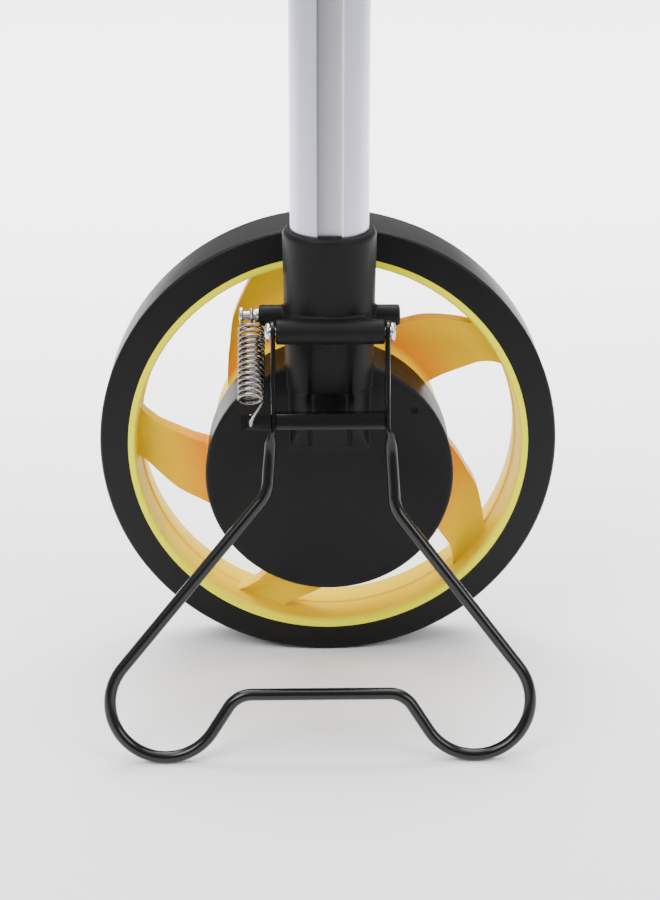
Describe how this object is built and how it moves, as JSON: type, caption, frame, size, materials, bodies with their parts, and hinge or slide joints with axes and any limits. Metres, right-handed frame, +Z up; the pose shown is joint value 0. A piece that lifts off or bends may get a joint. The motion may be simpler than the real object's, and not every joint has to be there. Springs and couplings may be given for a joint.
{
  "type": "measuring wheel",
  "caption": "Walking measuring wheel: spoked wheel on a side bracket with a folding wire stand, telescopic pole and an angled handle with a display.",
  "frame": {"origin": "the tyre's contact point with the ground, in the wheel's middle plane", "axes": "+Z up along the pole, +X the rolling direction away from the user, +Y from the pole side to the wheel side along the axle"},
  "size_m": [0.198, 0.1117, 0.5494],
  "materials": {
    "black_plastic": "fine satin",
    "lever_plastic": "satin",
    "yellow_plastic": "satin gloss",
    "tyre_rubber": "fine matt",
    "anodised_aluminium": "satin anodised",
    "steel": "bright zinc",
    "bearing_steel": "ground",
    "spring_steel": "bright",
    "black_wire": "gloss enamel",
    "magnet": "nickel",
    "circuit_board": "solder resist",
    "black_component": "matt",
    "cable": "satin",
    "bush_plastic": "natural",
    "window": "clear",
    "display": "grey green",
    "grip_rubber": "matt ribbed",
    "key_rubber": "matt",
    "cell": "sleeved"
  },
  "bodies": {
    "frame": {"bracket": "black_plastic", "case_cover": "black_plastic", "case_screws": "steel", "axle": "steel", "axle_washer": "steel", "axle_nut": "steel", "sensor_board": "circuit_board", "hall_sensors": "black_component", "signal_cable": "cable", "pivot_screws": "steel", "spring_screw": "steel", "spring_washer": "steel", "socket_screw": "steel", "lower_tube": "anodised_aluminium", "lower_collar": "black_plastic", "lower_lever_pin": "steel"},
    "wheel": {"tyre": "tyre_rubber", "wheel_rim": "yellow_plastic", "hub_drum": "yellow_plastic", "hub_web": "yellow_plastic", "hub_boss": "yellow_plastic", "spoke_1": "yellow_plastic", "spoke_2": "yellow_plastic", "spoke_3": "yellow_plastic", "spoke_4": "yellow_plastic", "spoke_5": "yellow_plastic", "hub_magnets": "magnet", "wheel_bearings": "bearing_steel", "hub_cap": "black_plastic"},
    "stand": {"stand_wire": "black_wire", "stand_bar": "black_wire"},
    "spring": {"stand_spring": "spring_steel"},
    "mid_section": {"mid_tube": "anodised_aluminium", "mid_bush": "bush_plastic", "upper_collar": "black_plastic", "upper_lever_pin": "steel"},
    "lower_clamp_lever": {"lower_lever": "lever_plastic"},
    "upper_clamp_lever": {"upper_lever": "lever_plastic"},
    "handle": {"upper_tube": "anodised_aluminium", "upper_bush": "bush_plastic", "handle_left_shell": "black_plastic", "handle_right_shell": "black_plastic", "handle_pins": "steel", "handle_screws": "steel", "display_window": "window", "display_panel": "display", "main_board": "circuit_board", "key_switches": "black_component", "grip_sleeve": "grip_rubber", "battery_cells": "cell", "cell_carrier": "bush_plastic", "front_contact": "spring_steel"},
    "power_key": {"power_key": "key_rubber"},
    "reset_key": {"reset_key": "key_rubber"},
    "unit_key": {"unit_key": "key_rubber"},
    "end_cap": {"end_cap": "black_plastic", "spring_contact": "spring_steel"}
  },
  "joints": [
    {"name": "wheel_spin", "type": "hinge", "parent": "frame", "child": "wheel", "pos_m": [0, 0, 0.0796], "axis": [0, 1, 0], "continuous": true},
    {"name": "stand_fold", "type": "hinge", "parent": "frame", "child": "stand", "pos_m": [0, -0.05, 0.1348], "axis": [-1, 0, 0], "range_deg": [0, 160], "stiffness_Nm_per_rad": 0.35, "springref_deg": -28.65, "deforming": ["stand_spring"]},
    {"name": "spring_swing", "type": "hinge", "parent": "frame", "child": "spring", "pos_m": [0, -0.034, 0.1353], "axis": [-1, 0, 0], "range_deg": [0, 110]},
    {"name": "mid_slide", "type": "slide", "parent": "frame", "child": "mid_section", "axis": [0, 0, 1], "range_m": [0, 0.205]},
    {"name": "upper_slide", "type": "slide", "parent": "mid_section", "child": "handle", "axis": [0, 0, 1], "range_m": [0, 0.205]},
    {"name": "lower_lever_flip", "type": "hinge", "parent": "frame", "child": "lower_clamp_lever", "pos_m": [0.0173, -0.034, 0.359], "axis": [0, 1, 0], "range_deg": [0, 95]},
    {"name": "upper_lever_flip", "type": "hinge", "parent": "mid_section", "child": "upper_clamp_lever", "pos_m": [0.0173, -0.034, 0.3916], "axis": [0, 1, 0], "range_deg": [0, 95]},
    {"name": "end_cap_pull", "type": "slide", "parent": "handle", "child": "end_cap", "axis": [-0.8, 0, 0.6], "range_m": [0, 0.02]},
    {"name": "power_key_press", "type": "slide", "parent": "handle", "child": "power_key", "axis": [-0.524, 0, -0.8517], "range_m": [0, 0.001], "stiffness_N_per_m": 900},
    {"name": "reset_key_press", "type": "slide", "parent": "handle", "child": "reset_key", "axis": [-0.524, 0, -0.8517], "range_m": [0, 0.001], "stiffness_N_per_m": 900},
    {"name": "unit_key_press", "type": "slide", "parent": "handle", "child": "unit_key", "axis": [-0.524, 0, -0.8517], "range_m": [0, 0.001], "stiffness_N_per_m": 900}
  ],
  "couplings": [
    {"joint": "spring_swing", "follows": "stand_fold", "ratio": 0.6554}
  ]
}
